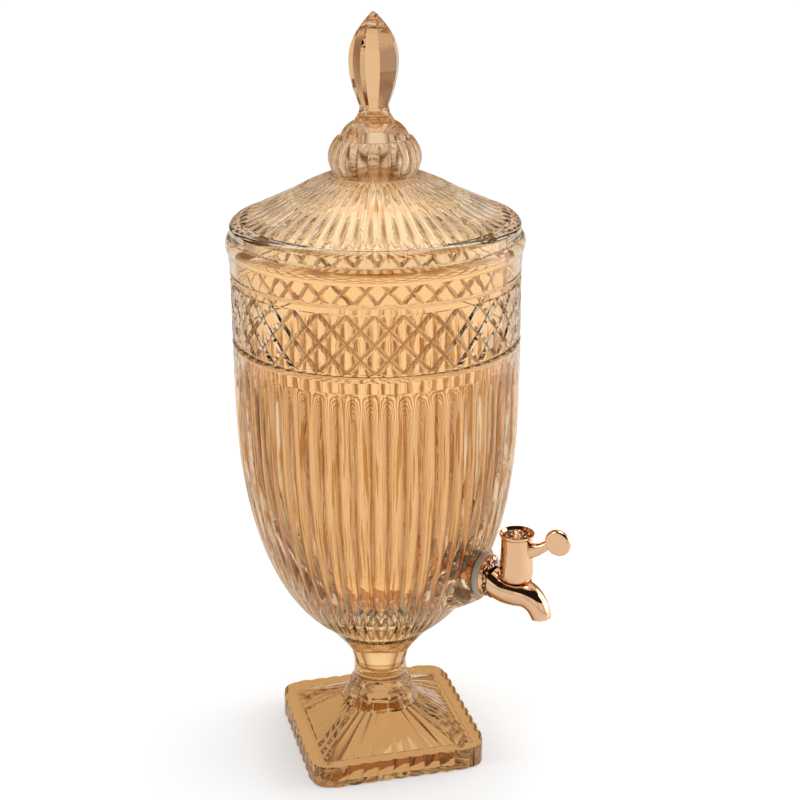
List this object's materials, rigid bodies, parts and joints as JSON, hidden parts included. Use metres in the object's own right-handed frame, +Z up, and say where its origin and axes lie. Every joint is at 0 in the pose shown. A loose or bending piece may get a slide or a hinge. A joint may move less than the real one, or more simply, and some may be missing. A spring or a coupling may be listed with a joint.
{
  "type": "drink dispenser",
  "caption": "Amber pressed-glass drink dispenser: reeded urn bowl with a cut diamond band on a square fluted foot, lift-off lid with a bud finial, and a quarter-turn tap.",
  "frame": {"origin": "middle of the foot's underside, under the bowl's axis", "axes": "+Z up along the bowl's axis, +X along the tap"},
  "size_m": [0.2188, 0.176, 0.4614],
  "materials": {
    "amber_glass": "fire-polished",
    "rose_plate": "polished rose plating",
    "silicone": "milky, translucent",
    "acetal": "turned",
    "nitrile": "moulded",
    "steel": "turned"
  },
  "bodies": {
    "dispenser": {"glass_bowl": "amber_glass", "glass_foot": "amber_glass", "outer_washer": "silicone", "inner_washer": "silicone", "slip_washer": "rose_plate", "lock_nut": "rose_plate", "tap_body": "rose_plate", "gland_ring": "acetal"},
    "lid": {"glass_lid": "amber_glass"},
    "tap_lever": {"tap_handle": "rose_plate", "valve_plug": "acetal", "lower_o_ring": "nitrile", "upper_o_ring": "nitrile", "handle_screw": "steel", "handle_cap": "rose_plate"}
  },
  "joints": [
    {"name": "lid_lift", "type": "slide", "parent": "dispenser", "child": "lid", "axis": [0, 0, 1], "range_m": [0, 0.15]},
    {"name": "tap_turn", "type": "hinge", "parent": "dispenser", "child": "tap_lever", "pos_m": [0.09595, 0, 0.15], "axis": [0, 0, -1], "range_deg": [0, 90]}
  ]
}
